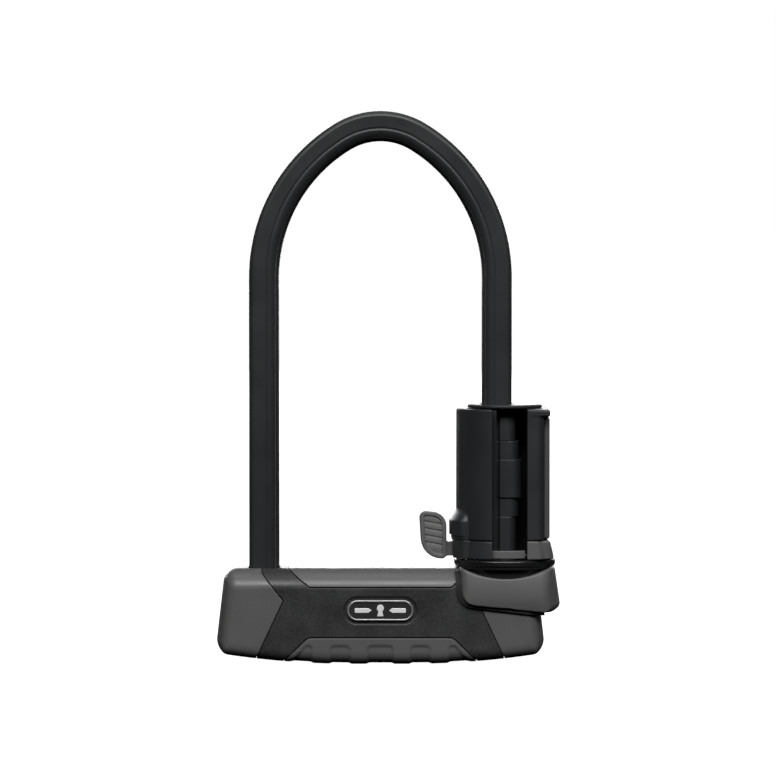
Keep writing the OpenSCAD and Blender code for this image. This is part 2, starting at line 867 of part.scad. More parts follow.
lock_core();
core_lid();
lid_screws();
casing_front();
casing_back();
end_cap_left();
end_cap_right();
top_panel();
bottom_grip();
badge_plate();
badge_bezel();
shackle_seal_left();
shackle_seal_right();
cylinder_housing();
cylinder_pin();
shutter_guide();
cylinder_plug();
key_guard();
code_discs();
sidebar();
cam_disc();
bolt_left();
bolt_right();
drive_pin_left();
drive_pin_right();
keyhole_shutter();
shackle_bar();
shackle_coat();
adapter_cup();
cup_liner();
adapter_base();
index_ring();
leg_sleeve_front();
leg_sleeve_back();
sleeve_screws();
top_disc();
holder_shell();
holder_tube();
foot_collar();
foot_bracket();
bumper_strip();
holder_screws();
release_lever();
lever_spring();
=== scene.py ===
"""Looks of a U lock with a swivelling carrier bracket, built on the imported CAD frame.

Outer mouldings are meshed from distance fields, so that every edge is softly rounded.
All field functions work in millimetres in the row frame; the meshes are made in metres.
"""
import json
import math

import bpy
import numpy as np
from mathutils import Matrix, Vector


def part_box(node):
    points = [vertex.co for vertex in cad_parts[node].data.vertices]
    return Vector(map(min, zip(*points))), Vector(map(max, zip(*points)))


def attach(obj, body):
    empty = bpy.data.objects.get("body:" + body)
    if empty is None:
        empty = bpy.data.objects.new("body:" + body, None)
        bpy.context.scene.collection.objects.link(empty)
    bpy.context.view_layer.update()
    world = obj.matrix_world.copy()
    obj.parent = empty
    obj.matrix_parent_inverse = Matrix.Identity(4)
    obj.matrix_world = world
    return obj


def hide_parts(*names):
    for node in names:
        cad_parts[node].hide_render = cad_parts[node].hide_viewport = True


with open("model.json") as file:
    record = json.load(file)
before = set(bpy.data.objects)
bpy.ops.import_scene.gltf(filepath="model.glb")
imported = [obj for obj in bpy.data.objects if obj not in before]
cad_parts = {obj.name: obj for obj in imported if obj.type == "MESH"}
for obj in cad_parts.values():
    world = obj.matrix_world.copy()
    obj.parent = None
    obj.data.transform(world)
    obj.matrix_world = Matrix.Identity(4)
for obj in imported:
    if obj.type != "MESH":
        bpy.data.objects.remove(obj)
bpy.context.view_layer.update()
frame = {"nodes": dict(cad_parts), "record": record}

MM = 0.001


def corners(node):
    low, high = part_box(node)
    return np.array(low) / MM, np.array(high) / MM


# ---- Sizes taken from the frame ----
BODY_H = corners("top_panel")[1][2]
HALF_D = corners("end_cap_right")[1][1]
SEAL_LO, SEAL_HI = corners("shackle_seal_right")
LEG_X = (SEAL_LO[0] + SEAL_HI[0]) / 2
COAT_LO, COAT_HI = corners("shackle_coat")
LEG_W = COAT_HI[1] - COAT_LO[1]
RING_LO, RING_HI = corners("index_ring")
AXIS_X = (RING_LO[0] + RING_HI[0]) / 2
RING_R = (RING_HI[0] - RING_LO[0]) / 2
SHELL_TOP = corners("holder_shell")[1][2]
FOOT_LO, FOOT_HI = corners("foot_bracket")
DISC_LO, DISC_HI = corners("top_disc")
PAD_LO, PAD_HI = corners("bumper_strip")
PLATE_LO, PLATE_HI = corners("badge_plate")
BADGE_Z = (PLATE_LO[2] + PLATE_HI[2]) / 2

# ---- Sizes of the lock body's covers ----
TOP_HALF = 82.9          # half length along the top
END_LEAN = 5.9           # how far each end leans out towards the bottom
SHOULDER_BACK = 7.6      # shoulder along the top, across and down
SHOULDER_DROP = 7.2
FLANK_BACK = 5           # shoulder at the ends, across and inwards
FLANK_IN = 8
BELLY_FLAT = 15          # half length of the flat part of the underside
BELLY_CURVE = 900
WALL = 2.6
SEAM = 0.32
EDGE = 0.32
REBATE_DEPTH = 1.2       # step inside a cover's rim, which clears the casing's tongue
REBATE_WIDTH = 1.9
TONGUE_DEPTH = 1.5
TONGUE_REACH = 1.6
LEG_HOLE_GAP = 0.45
LEG_HOLE_FLOOR = 38
BADGE_HALF = 17.6
BADGE_R = 5.5
BEZEL_BAND = 1.1
BEZEL_PROUD = 0.4
BEZEL_SUNK = 1.4

# ---- Sizes of the shackle ----
BAR = 13.0
SIDE_R = 87.4
SIDE_ANGLE = 58.54
COAT_R_OUT = 3.0
COAT_R_IN = 6.4
GROOVE_AT = 1.3
GROOVE_DEPTH = 0.3
GROOVE_WIDTH = 0.5

# ---- Sizes of the carrier bracket ----
CUP_HALF_D = 26
LINER_GAP = 1.25
SLEEVE_GAP = 0.4
SLEEVE_BACK = 9.4
DISC_R = 20
HOLDER_R = 26.0
HOLDER_INNER_R = 23
FLAT_X = 20.5
FLAT_Y = 22.2
FLAT_INNER_X = 18.7
BORE_R = 18.7
SLOT_X0 = -7.16
SLOT_X1 = 11.4
FOOT_SPLIT = 8.0
STEM_ANGLE = 183.0
GATE_END = 303.0
GATE_R_IN = 19
GATE_R_OUT = 22.4


# ---- Distance fields ----
def rmax(a, b, r):
    """Intersection of two fields with a rounded edge."""
    return np.minimum(-r, np.maximum(a, b)) + np.hypot(np.maximum(r + a, 0), np.maximum(r + b, 0))


def rmin(a, b, r):
    """Union of two fields with a filleted joint."""
    return -rmax(-a, -b, r)


def slab(v, low, high):
    return np.abs(v - (low + high) / 2) - (high - low) / 2


def rect(u, v, half_u, half_v, r):
    """Round-cornered rectangle about the origin."""
    a = np.abs(u) - half_u + r
    b = np.abs(v) - half_v + r
    return np.hypot(np.maximum(a, 0), np.maximum(b, 0)) + np.minimum(np.maximum(a, b), 0) - r


def block(x, y, z, low, high, r):
    d = rmax(slab(x, low[0], high[0]), slab(y, low[1], high[1]), r)
    return rmax(d, slab(z, low[2], high[2]), r)


def outline(points, steps=6):
    """Points of a polygon whose corners are given as (x, y, radius)."""
    made = []
    for i, (x, y, r) in enumerate(points):
        p = np.array([x, y], float)
        if r == 0:
            made.append(p)
            continue
        u = np.array(points[i - 1][:2], float) - p
        v = np.array(points[(i + 1) % len(points)][:2], float) - p
        u /= np.linalg.norm(u)
        v /= np.linalg.norm(v)
        half = math.acos(float(u @ v)) / 2
        mid = (u + v) / np.linalg.norm(u + v)
        centre = p + mid * r / math.sin(half)
        a = p + u * r / math.tan(half) - centre
        b = p + v * r / math.tan(half) - centre
        a0 = math.atan2(a[1], a[0])
        turn = (math.atan2(b[1], b[0]) - a0 + 3 * math.pi) % (2 * math.pi) - math.pi
        for k in range(steps + 1):
            t = a0 + turn * k / steps
            made.append(centre + r * np.array([math.cos(t), math.sin(t)]))
    return made


def polygon(u, v, points):
    """Signed distance to a closed polygon."""
    u, v = np.broadcast_arrays(u, v)
    best = np.full(u.shape, np.inf)
    inside = np.zeros(u.shape, bool)
    for a, b in zip(points, list(points[1:]) + [points[0]]):
        eu, ev = b[0] - a[0], b[1] - a[1]
        length = eu * eu + ev * ev
        if length < 1e-12:
            continue
        wu, wv = u - a[0], v - a[1]
        t = np.clip((wu * eu + wv * ev) / length, 0, 1)
        best = np.minimum(best, (wu - t * eu) ** 2 + (wv - t * ev) ** 2)
        side = eu * wv - ev * wu
        inside ^= (a[1] <= v) & (b[1] > v) & (side > 0)
        inside ^= (a[1] > v) & (b[1] <= v) & (side < 0)
    return np.where(inside, -1, 1) * np.sqrt(best)


def smooth(v, low, high):
    """Soft step from 0 at low to 1 at high."""
    t = np.clip((v - low) / (high - low), 0, 1)
    return t * t * (3 - 2 * t)


# ---- Meshing ----
def shift(cells, d):
    return cells[:, 0] + d[0], cells[:, 1] + d[1], cells[:, 2] + d[2]


def gradient(field, p):
    h = 0.02
    g = np.empty_like(p)
    for k in range(3):
        a, b = p.copy(), p.copy()
        a[:, k] += h
        b[:, k] -= h
        g[:, k] = (field(*a.T) - field(*b.T)) / (2 * h)
    return g


def net(field, low, high, cell):
    """Surface net of a field's zero level: vertices, quads and normals."""
    axes = [np.arange(low[k] - 1.7 * cell, high[k] + 2 * cell, cell) for k in range(3)]
    v = field(axes[0][:, None, None], axes[1][None, :, None], axes[2][None, None, :])
    v = np.broadcast_to(v, [len(a) for a in axes])
    s = v < 0
    count = np.zeros([n - 1 for n in v.shape], np.int8)
    for i in (0, 1):
        for j in (0, 1):
            for k in (0, 1):
                count += s[i:v.shape[0] - 1 + i, j:v.shape[1] - 1 + j, k:v.shape[2] - 1 + k]
    mixed = (count > 0) & (count < 8)
    cells = np.argwhere(mixed)
    ids = np.full(mixed.shape, -1)
    ids[mixed] = np.arange(len(cells))
    total = np.zeros((len(cells), 3))
    hits = np.zeros(len(cells))
    for axis in range(3):
        for du in (0, 1):
            for dv in (0, 1):
                d = [0, 0, 0]
                d[(axis + 1) % 3] = du
                d[(axis + 2) % 3] = dv
                a = v[shift(cells, d)]
                start = np.array(d, float)
                d[axis] = 1
                b = v[shift(cells, d)]
                cross = (a < 0) != (b < 0)
                t = np.where(cross, a / np.where(cross, a - b, 1), 0)
                spot = np.tile(start, (len(cells), 1))
                spot[:, axis] += t
                total += spot * cross[:, None]
                hits += cross
    origin = np.array([a[0] for a in axes])
    points = origin + (cells + total / hits[:, None]) * cell
    quads = []
    for axis in range(3):
        u, w = (axis + 1) % 3, (axis + 2) % 3
        a = np.take(s, range(0, s.shape[axis] - 1), axis)
        b = np.take(s, range(1, s.shape[axis]), axis)
        for flip, change in ((False, a & ~b), (True, ~a & b)):
            e = np.argwhere(change)
            e = e[(e[:, u] > 0) & (e[:, w] > 0) & (e[:, u] < s.shape[u] - 1) & (e[:, w] < s.shape[w] - 1)]
            du, dw = np.zeros(3, int), np.zeros(3, int)
            du[u] = 1
            dw[w] = 1
            ring = [ids[tuple(q.T)] for q in (e - du - dw, e - dw, e, e - du)]
            if flip:
                ring.reverse()
            quads.append(np.stack(ring, 1))
    quads = np.concatenate(quads)
    for _ in range(3):
        g = gradient(field, points)
        size = np.maximum((g * g).sum(1), 0.25)
        step = field(*points.T)[:, None] * g / size[:, None]
        points -= np.clip(step, -0.6 * cell, 0.6 * cell)
    normals = gradient(field, points)
    normals /= np.maximum(np.linalg.norm(normals, axis=1), 1e-9)[:, None]
    return points, quads, normals


def make_object(name, points, faces, normals):
    mesh = bpy.data.meshes.new(name)
    mesh.from_pydata((np.asarray(points) * MM).tolist(), [], np.asarray(faces).tolist())
    mesh.validate()
    mesh.shade_smooth()
    if len(mesh.vertices) == len(points):
        mesh.normals_split_custom_set_from_vertices(np.asarray(normals).tolist())
    obj = bpy.data.objects.new(name, mesh)
    bpy.context.scene.collection.objects.link(obj)
    return obj


def dress(obj, body, slot, material, *nodes):
    obj.data.materials.append(material)
    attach(obj, body)
    if nodes:
        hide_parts(*nodes)


def mould(name, field, low, high, cell, body, slot, material, *nodes):
    """Mesh a field and let the piece ride on a body in place of CAD nodes."""
    points, quads, normals = net(field, low, high, cell)
    dress(make_object(name, points, quads, normals), body, slot, material, *nodes)


# ---- Materials ----
BROAD_SCALE = 45.0       # noise cells per metre of the slow variation
FINE_SHARE = 0.75        # share of the fine grain in the colour
ROUGH_SWING = 0.06


def new_material(name):
    material = bpy.data.materials.new(name)
    material.use_nodes = True
    nodes = material.node_tree.nodes
    shader = next(n for n in nodes if n.type == "BSDF_PRINCIPLED")
    return material, nodes, material.node_tree.links, shader


def noise(nodes, links, place, scale, rough):
    tex = nodes.new("ShaderNodeTexNoise")
    tex.inputs["Scale"].default_value = scale
    tex.inputs["Detail"].default_value = 2.0
    tex.inputs["Roughness"].default_value = rough
    links.new(place, tex.inputs["Vector"])
    return tex.outputs["Fac"]


def spread(nodes, links, source, low, high):
    """Map the middle of a noise's range to low and high."""
    node = nodes.new("ShaderNodeMapRange")
    node.inputs["From Min"].default_value = 0.3
    node.inputs["From Max"].default_value = 0.7
    node.inputs["To Min"].default_value = low
    node.inputs["To Max"].default_value = high
    links.new(source, node.inputs["Value"])
    return node.outputs["Result"]


def finish_material(name, colour, rough, grain, depth, mottle, gloss, metal=0.0, stretch=(1, 1, 1)):
    """Plastic, rubber or metal with fine grain, soft mottling and uneven sheen.

    grain is in noise cells per metre, depth is the height of the grain in millimetres, and mottle is
    the share by which the colour varies.
    """
    material, nodes, links, shader = new_material(name)
    shader.inputs["Metallic"].default_value = metal
    shader.inputs["Specular IOR Level"].default_value = gloss
    where = nodes.new("ShaderNodeTexCoord").outputs["Object"]
    scaled = nodes.new("ShaderNodeMapping")
    scaled.inputs["Scale"].default_value = stretch
    links.new(where, scaled.inputs["Vector"])
    place = scaled.outputs["Vector"]
    broad = noise(nodes, links, place, BROAD_SCALE, 0.55)
    fine = noise(nodes, links, place, grain, 0.6)
    mix = nodes.new("ShaderNodeMixRGB")
    mix.inputs["Color1"].default_value = (*[c * (1 - mottle) for c in colour], 1)
    mix.inputs["Color2"].default_value = (*[min(1, c * (1 + mottle)) for c in colour], 1)
    both = nodes.new("ShaderNodeMath")
    both.operation = "MULTIPLY_ADD"
    both.inputs[1].default_value = FINE_SHARE
    links.new(fine, both.inputs[0])
    rest = nodes.new("ShaderNodeMath")
    rest.operation = "MULTIPLY"
    rest.inputs[1].default_value = 1 - FINE_SHARE
    links.new(broad, rest.inputs[0])
    links.new(rest.outputs[0], both.inputs[2])
    links.new(spread(nodes, links, both.outputs[0], 0.0, 1.0), mix.inputs["Fac"])
    links.new(mix.outputs["Color"], shader.inputs["Base Color"])
    sheen = spread(nodes, links, broad, rough - ROUGH_SWING, rough + ROUGH_SWING)
    links.new(sheen, shader.inputs["Roughness"])
    bump = nodes.new("ShaderNodeBump")
    bump.inputs["Strength"].default_value = 0.6
    bump.inputs["Distance"].default_value = depth * MM
    links.new(fine, bump.inputs["Height"])
    links.new(bump.outputs["Normal"], shader.inputs["Normal"])
    return material


def grey(level, warm=0.0):
    """Linear grey for an sRGB level from 0 to 255, a little warmer or cooler."""
    c = level / 255
    c = c / 12.92 if c <= 0.04045 else ((c + 0.055) / 1.055) ** 2.4
    return (c * (1 + warm), c, c * (1 - warm))


# The look of each material slot in the record
LOOK = {
    "hardened_steel": finish_material("steel_brushed", (0.46, 0.455, 0.45), 0.34, 1400, 0.012, 0.12,
                                      0.5, 1.0, (1, 1, 0.04)),
    "screw_steel": finish_material("steel_screw", (0.5, 0.5, 0.49), 0.3, 3000, 0.008, 0.1, 0.5, 1.0),
    "brass": finish_material("brass_turned", (0.62, 0.45, 0.2), 0.3, 2200, 0.008, 0.1, 0.5, 1.0, (1, 1, 6)),
    "casing_black": finish_material("casing_black", grey(46, -0.02), 0.42, 1700, 0.06, 0.85, 0.4),
    "cover_grey": finish_material("cover_grey", grey(84, 0.01), 0.39, 1800, 0.02, 0.1, 0.45),
    "grip_grey": finish_material("grip_grey", grey(80, 0.01), 0.6, 2300, 0.035, 0.09, 0.3),
    "badge_silver": finish_material("badge_silver", (0.42, 0.42, 0.43), 0.32, 3200, 0.01, 0.08, 0.5, 0.7),
    "badge_dark": finish_material("badge_dark", grey(44), 0.3, 3000, 0.01, 0.08, 0.4),
    "seal_rubber": finish_material("seal_rubber", grey(26), 0.7, 2200, 0.03, 0.12, 0.25),
    "shutter_black": finish_material("shutter_black", grey(30), 0.45, 2600, 0.02, 0.1, 0.35),
    "shackle_black": finish_material("shackle_black", grey(35, -0.06), 0.44, 1700, 0.022, 0.18, 0.35),
    "bracket_grey": finish_material("bracket_grey", grey(92, 0.01), 0.44, 2600, 0.02, 0.06, 0.35),
    "bracket_black": finish_material("bracket_black", grey(36, -0.08), 0.46, 2300, 0.018, 0.1, 0.38),
    "bumper_rubber": finish_material("bumper_rubber", grey(76), 0.66, 2200, 0.035, 0.1, 0.25),
}
# Looks of single pieces that are lighter or darker than the rest of their slot; apart from the sign's
# bright print, these lighter and darker copies paint light and shade
# Lighter copy of bracket black for the foot collar: painted light, where the collar catches the top light
FOOT_LIT_LOOK = finish_material("foot_black_painted_light", grey(42, -0.05), 0.4, 2600, 0.018, 0.1, 0.45)
# Darker copy of bracket grey for the foot bracket: painted shade
FOOT_SHADED_LOOK = finish_material("foot_grey_painted_shade", grey(80, 0.01), 0.4, 2300, 0.02, 0.08, 0.4)
# Darker, glossier copy of bracket black for the index ring and the dish under it: the gloss is its finish,
# the darker colour is painted shade
RING_SHADED_LOOK = finish_material("ring_black_painted_shade", grey(20, -0.06), 0.32, 2300, 0.012, 0.1, 0.5)
SIGN_LOOK = finish_material("badge_bright", (0.78, 0.78, 0.79), 0.4, 3200, 0.01, 0.05, 0.5, 0.2)
# Slightly darker copy of bracket grey for the lever: painted shade
LEVER_SHADED_LOOK = finish_material("lever_grey_painted_shade", grey(89, 0.01), 0.44, 2300, 0.02, 0.08, 0.35)
NODE_LOOK = {
    "sleeve_screws": LOOK["seal_rubber"],
    "cup_liner": LOOK["seal_rubber"],
    # the dish under the ring takes the darker ring look, painted shade
    "adapter_base": RING_SHADED_LOOK,
}
SLOT_OF = {row["node"]: row["material_slot"] for row in frame["record"]["subparts"]}


# ---- Lock body ----
def body(x, y, z):
    """Outer form of the lock body: a block with sloping shoulders along its top and at its ends."""
    ax, ay = np.abs(x), np.abs(y)
    top = z - BODY_H
    end = ((ax - TOP_HALF) * BODY_H + (z - BODY_H) * END_LEAN) / math.hypot(BODY_H, END_LEAN)
    floor = np.maximum(0, ax - BELLY_FLAT) ** 2 / BELLY_CURVE - z
    front = ay - HALF_D
    shoulder = front * SHOULDER_DROP + (top + SHOULDER_DROP) * SHOULDER_BACK
    shoulder = shoulder / math.hypot(SHOULDER_DROP, SHOULDER_BACK)
    flank = (front * FLANK_BACK + (end + FLANK_BACK) * FLANK_IN) / math.hypot(FLANK_BACK, FLANK_IN)
    d = rmax(rmax(front, shoulder, 3.0), flank, 3.5)
    d = rmax(d, rmax(rmax(top, end, 7.0), floor, 8), 4.5)
    return rmax(d, rmax(front, floor, 7.5), 1.0)


# Outlines of the covers in the front view, as (x, z) or as (x, z, corner radius)
CAP = [(63.3, 60), (63.3, 48.9), (51.7, 34.2), (66.4, 3), (67.8, -4), (120, -4), (120, 60)]
TOP = [(-37.4, 41.5), (37.4, 41.5), (49.3, 51), (49.3, 60), (-49.3, 60), (-49.3, 51)]
GRIP = outline([
    (38.4, 14.6, 5), (-38.4, 14.6, 5), (-51.7, 1.5, 0), (-53.6, -4, 0), (53.6, -4, 0), (51.7, 1.5, 0),
])
GRIP_HOLLOWS = [
    outline([(-6.3, -4, 0), (6.3, -4, 0), (6.3, 9.9, 2), (-6.3, 9.9, 2)]),
    outline([(16.5, -4, 0), (26, -4, 0), (26, 9.9, 2), (16.5, 9.9, 2)]),
    outline([(36.8, -4, 0), (51.6, -4, 0), (39.4, 9.9, 1.4), (36.8, 9.9, 1.2)]),
]


def cap_region(x, z):
    return polygon(np.abs(x), z, CAP)


def shelled(shape, x, y, z):
    """A cover: the part of the body's skin in a region, rebated inside for the casing's tongue."""
    form = body(x, y, z)
    rebate = np.maximum(form + REBATE_DEPTH, -(shape + REBATE_WIDTH))
    return np.maximum(np.maximum(rmax(form, shape, EDGE), -(form + WALL)), -rebate)


def leg_opening(x, y):
    half = LEG_W / 2 + LEG_HOLE_GAP
    return rect(np.abs(x) - LEG_X, y, half, half, 3.4)


def end_cap(x, y, z):
    d = shelled(cap_region(x, z), x, y, z)
    return rmax(d, -np.maximum(leg_opening(x, y), LEG_HOLE_FLOOR - z), 0.7)


def top_panel(x, y, z):
    return shelled(polygon(x, z, TOP), x, y, z)


def stadium(x, z, grow):
    """Outline of the badge, grown outwards."""
    return np.hypot(np.maximum(np.abs(x) - BADGE_HALF + BADGE_R, 0), z - BADGE_Z) - BADGE_R - grow


def casing(x, y, z):
    """What the covers leave of the skin, with a tongue that closes the seams from inside."""
    covers = np.minimum(np.minimum(cap_region(x, z), polygon(x, z, TOP)), polygon(x, z, GRIP))
    form = body(x, y, z)
    skin = rmax(form, SEAM - covers, EDGE)
    tongue = np.maximum(form + TONGUE_DEPTH, SEAM - TONGUE_REACH - covers)
    d = np.maximum(np.minimum(skin, tongue), -(form + WALL))
    return rmax(d, -np.maximum(leg_opening(x, y), LEG_HOLE_FLOOR - z), 0.5)


def casing_front(x, y, z):
    d = rmax(casing(x, y, z), y + 0.1, 0.25)
    pocket = rmax(stadium(x, z, 1.7), y + HALF_D - 1.5, 0.5)
    return rmax(d, -pocket, 0.7)


def casing_back(x, y, z):
    return rmax(casing(x, y, z), 0.1 - y, 0.25)


def bottom_grip(x, y, z):
    """Grip with shallow hollows, the hole for the key and the track of the shutter."""
    d = shelled(polygon(x, z, GRIP), x, y, z)
    form = body(x, y, z)
    for hollow in GRIP_HOLLOWS:
        cut = polygon(np.abs(x), z, hollow)
        d = rmax(d, rmin(-cut, form + 0.8, 0.8), 1.7)
    opening = rect(x, y, 5.2, 5.2, 1.2)
    d = rmax(d, -np.maximum(opening, z - 12), 0.4)
    track = np.maximum(rect(x, y - 4.5, 6.1, 10.9, 0.5), slab(z, 0.8, 12))
    wide = np.maximum(rect(x, y - 4.5, 7.5, 10.9, 0.5), slab(z, 1.6, 12))
    return np.maximum(d, -np.minimum(track, wide))


def badge_bezel(x, y, z):
    band = np.maximum(stadium(x, z, 0), -stadium(x, z, -BEZEL_BAND))
    return rmax(band, slab(y, -HALF_D - BEZEL_PROUD, -HALF_D + BEZEL_SUNK), 0.4)


def badge_plate(x, y, z):
    face = -HALF_D + 0.3
    return np.maximum(stadium(x, z, -1.15), slab(y, face, face + 1.1))


def badge_sign(x, y, z):
    """Raised keyhole between two plain raised bars with pointed inner ends."""
    u = z - BADGE_Z
    ax = np.abs(x)
    skirt = rmax(ax - 0.75 - 0.24 * (0.9 - u), slab(u, -3.1, 1.0), 0.25)
    key = np.minimum(np.hypot(x, u - 1.2) - 1.9, skirt)
    bar = rmax(rmax(np.abs(u) - 1.25, ax - 13.6, 0.5), (np.abs(u) * 1.3 - (ax - 4.6)) / 1.64, 0.3)
    return rmax(np.minimum(key, bar), slab(y, -HALF_D + 0.05, -HALF_D + 0.6), 0.15)


def build_body():
    half = TOP_HALF + END_LEAN
    d = HALF_D
    for side, name in ((1, "end_cap_right"), (-1, "end_cap_left")):
        low, high = sorted((side * 51, side * half))
        mould(name, end_cap, (low, -d, -0.5), (high, d, BODY_H), 0.5, "lock_body",
              "cover_grey", LOOK["cover_grey"], name)
    mould("top_panel", top_panel, (-50, -d, 41), (50, d, BODY_H), 0.6, "lock_body",
          "cover_grey", LOOK["cover_grey"], "top_panel")
    mould("casing_front", casing_front, (-69, -d, -0.5), (69, 0, BODY_H), 0.5, "lock_body",
          "casing_black", LOOK["casing_black"], "casing_front")
    mould("casing_back", casing_back, (-69, 0, -0.5), (69, d, BODY_H), 0.6, "lock_body",
          "casing_black", LOOK["casing_black"], "casing_back")
    mould("bottom_grip", bottom_grip, (-54, -d, -0.5), (54, d, 15), 0.6, "lock_body",
          "grip_grey", LOOK["grip_grey"], "bottom_grip")
    low = (-BADGE_HALF, -d - BEZEL_PROUD, BADGE_Z - BADGE_R)
    high = (BADGE_HALF, -d + BEZEL_SUNK, BADGE_Z + BADGE_R)
    mould("badge_bezel", badge_bezel, low, high, 0.3, "lock_body", "badge_silver",
          LOOK["badge_silver"], "badge_bezel")
    mould("badge_plate", badge_plate, low, high, 0.3, "lock_body", "badge_dark",
          LOOK["badge_dark"], "badge_plate")
    mould("badge_sign", badge_sign, (-14, -d - 0.1, BADGE_Z - 3.4), (14, -d + 0.7, BADGE_Z + 3.4), 0.2,
          "lock_body", "badge_silver", SIGN_LOOK)


# ---- Shackle coat ----
def coat_profile():
    """Section points and normals; u runs outwards from the loop, and the inner corners are rounder."""
    half = LEG_W / 2
    spots, normals = [], []
    for su, sv, r in ((1, 1, COAT_R_OUT), (-1, 1, COAT_R_IN), (-1, -1, COAT_R_IN), (1, -1, COAT_R_OUT)):
        centre = np.array([su * (half - r), sv * (half - r)])
        a0 = math.degrees(math.atan2(sv, su)) - 45
        for k in range(9):
            a = math.radians(a0 + 90 * k / 8)
            n = np.array([math.cos(a), math.sin(a)])
            spots.append(centre + r * n)
            normals.append(n)
    dense_spots, dense_normals = [], []
    for i, (p, n) in enumerate(zip(spots, normals)):
        q = spots[(i + 1) % len(spots)]
        gap = np.linalg.norm(q - p)
        parts = max(1, round(gap / 0.45)) if gap > 2 else 1
        for k in range(parts):
            t = k / parts
            dense_spots.append(p + (q - p) * t)
            dense_normals.append(n)
    spots, normals = np.array(dense_spots), np.array(dense_normals)
    # A shallow parting groove runs along the front and the back
    flat = np.abs(normals[:, 1]) > 0.999
    w = (spots[:, 0] + GROOVE_AT) / GROOVE_WIDTH
    dip = np.where(flat, GROOVE_DEPTH * np.exp(-w * w), 0)
    slope = np.where(flat, -2 * w / GROOVE_WIDTH * dip, 0)
    sign = np.sign(normals[:, 1])
    spots[:, 1] -= sign * dip
    normals[:, 0] += slope
    normals /= np.linalg.norm(normals, axis=1)[:, None]
    return spots, normals


def shackle_path():
    """Stations along the loop: place of the section's middle and the outward direction there."""
    arc_z = COAT_HI[2] - LEG_W / 2
    a = math.radians(SIDE_ANGLE)
    crown_r = (SIDE_R * math.cos(a) - SIDE_R + LEG_X) / math.cos(a)
    crown_z = arc_z - crown_r
    side_z = crown_z - (SIDE_R - crown_r) * math.sin(a)
    right = [(LEG_X, z, 0.0) for z in np.linspace(COAT_LO[2] + 0.4, side_z, 40)]
    for t in np.linspace(0, a, 50)[1:]:
        right.append((LEG_X - SIDE_R + SIDE_R * math.cos(t), side_z + SIDE_R * math.sin(t), t))
    for t in np.linspace(a, math.pi / 2, 18)[1:]:
        right.append((crown_r * math.cos(t), crown_z + crown_r * math.sin(t), t))
    left = [(-x, z, math.pi - t) for x, z, t in reversed(right[:-1])]
    return right + left


def build_shackle():
    """Coat as one closed tube with an outer skin, two rounded ends and the bar's room inside."""
    spots, normals = coat_profile()
    half = BAR / 2 + 0.02
    core = np.clip(spots, -half + 1.2, half - 1.2)
    away = spots - core
    inner = core + 1.2 * away / np.linalg.norm(away, axis=1)[:, None]
    stations = shackle_path()
    rings, turned = [], []

    def add(section, facing, station, along=0.0, axial=0.0):
        x, z, t = station
        out = np.array([math.cos(t), 0, math.sin(t)])
        front = np.array([0, 1, 0])
        ahead = np.array([-math.sin(t), 0, math.cos(t)])
        rings.append(np.array([x, 0, z]) + section[:, :1] * out + section[:, 1:] * front + along * ahead)
        n = facing[:, :1] * out + facing[:, 1:] * front + axial * ahead
        turned.append(n / np.linalg.norm(n, axis=1)[:, None])

    for s in stations:
        add(spots, normals, s)
    add(spots - 0.4 * normals, normals * 0.3, stations[-1], 0.4, 1.0)
    add(inner, -normals * 0.3, stations[-1], 0.4, 1.0)
    for s in reversed(stations):
        add(inner, -normals, s)
    add(inner, -normals * 0.3, stations[0], -0.4, -1.0)
    add(spots - 0.4 * normals, normals * 0.3, stations[0], -0.4, -1.0)
    n = len(spots)
    count = len(rings)
    faces = []
    for i in range(count):
        a, b = i * n, (i + 1) % count * n
        for k in range(n):
            m = (k + 1) % n
            faces.append((a + k, a + m, b + m, b + k))
    obj = make_object("shackle_coat", np.concatenate(rings), faces, np.concatenate(turned))
    dress(obj, "shackle", "shackle_black", LOOK["shackle_black"], "shackle_coat")


# ---- Bracket half that stays on the lock ----
CUP_TOP = BODY_H + 2.2
CUP = outline([(-24.4, CUP_TOP, 1), (-22.9, 32.7, 8), (25.2, 27.7, 7), (29.7, 30.6, 3), (26.2, CUP_TOP, 3)])


def adapter_cup(x, y, z):
    """Saddle over the right end of the body, tucked in below and scooped out under the ring."""
    lx = x - AXIS_X
    form = body(x, y, z)
    tuck = 3.1 * np.clip((45 - z) / 17, 0, 1) ** 2.2 + 2.2 * np.clip((z - 38) / 15, 0, 1) ** 2
    front = np.abs(y) - CUP_HALF_D
    d = rmax(polygon(lx, z, CUP), front + tuck, 0.8)
    left = np.hypot(np.maximum(8 - (lx + 24.4), 0), np.maximum(front + 8, 0)) - 8
    right = 0.886 * (lx - 21.3) + 0.463 * front
    d = rmax(rmax(d, left, 1.0), right, 3.5)
    d = rmax(d, -(form - LINER_GAP), 0.4)
    d = np.maximum(d, -np.maximum(np.hypot(lx, y) - 23.7, 30 - z))
    d = np.maximum(d, -np.maximum(np.hypot(lx, y) - RING_R - 0.3, RING_LO[2] - 1.2 - z))
    scoop_sag = 6.5
    scoop_half = 25.3
    r = (scoop_half * scoop_half + scoop_sag * scoop_sag) / (2 * scoop_sag)
    return rmax(d, r - np.hypot(lx, z - BODY_H + 4.7 - r), 0.8)


def index_ring(x, y, z):
    lx = x - AXIS_X
    rho = np.hypot(lx, y)
    d = rmax(rho - RING_R, slab(z, RING_LO[2], RING_HI[2]), 1.0)
    for notch in (47.3, 227.3):
        a = math.radians(notch)
        mark = np.hypot(lx - (RING_R + 0.4) * math.cos(a), y - (RING_R + 0.4) * math.sin(a)) - 0.9
        d = rmax(d, -mark, 0.25)
    return rmax(d, 16.8 - rho, 0.4)


